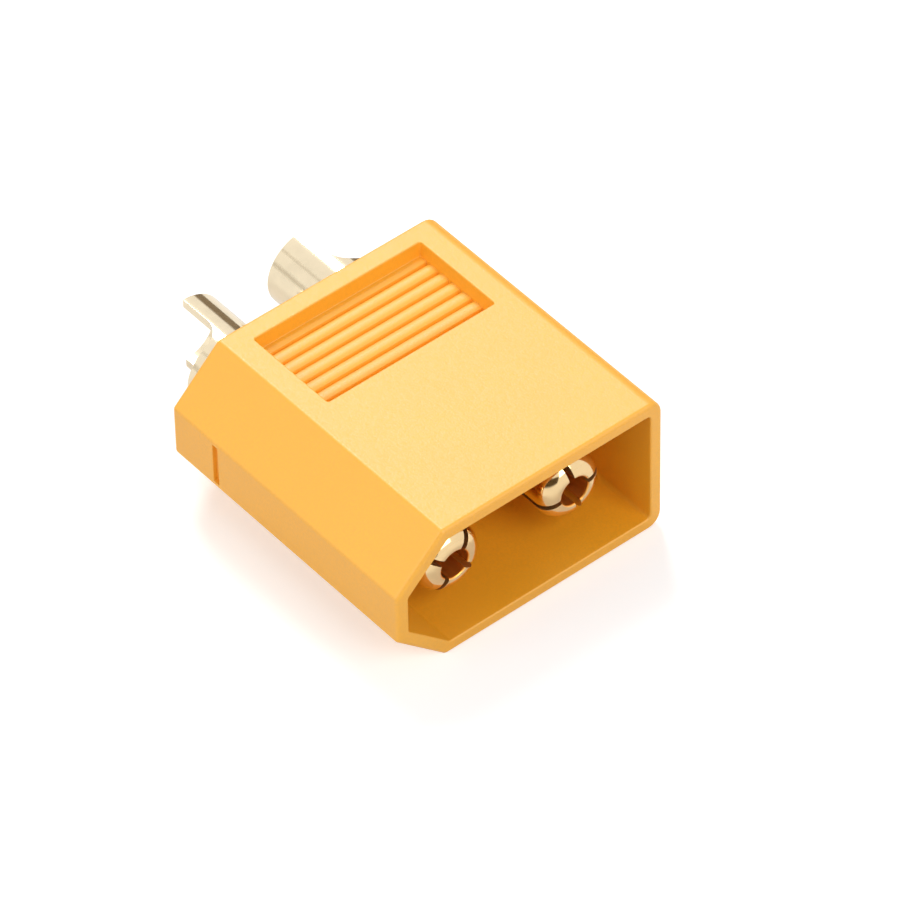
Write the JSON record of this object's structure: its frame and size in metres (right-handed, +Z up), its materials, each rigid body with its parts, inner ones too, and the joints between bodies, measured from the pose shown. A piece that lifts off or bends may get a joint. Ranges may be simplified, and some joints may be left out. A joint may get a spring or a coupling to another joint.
{
  "type": "xt60 connector",
  "caption": "Shrouded two-pole power plug: chamfered keyed housing round slotted bullet pins, with open solder cups at the rear.",
  "frame": {"origin": "bottom centre of the whole part, cups included, on the plane of the underside", "axes": "+X from the chamfered end to the square end, +Y along the contacts from the mouth to the solder cups, +Z up from the underside"},
  "size_m": [0.016, 0.021, 0.0081],
  "materials": {
    "housing": "fine matte moulded nylon, amber yellow",
    "contact": "pale gold plating over turned brass"
  },
  "bodies": {
    "root": {"housing": "housing", "positive_contact": "contact", "negative_contact": "contact"}
  },
  "joints": []
}
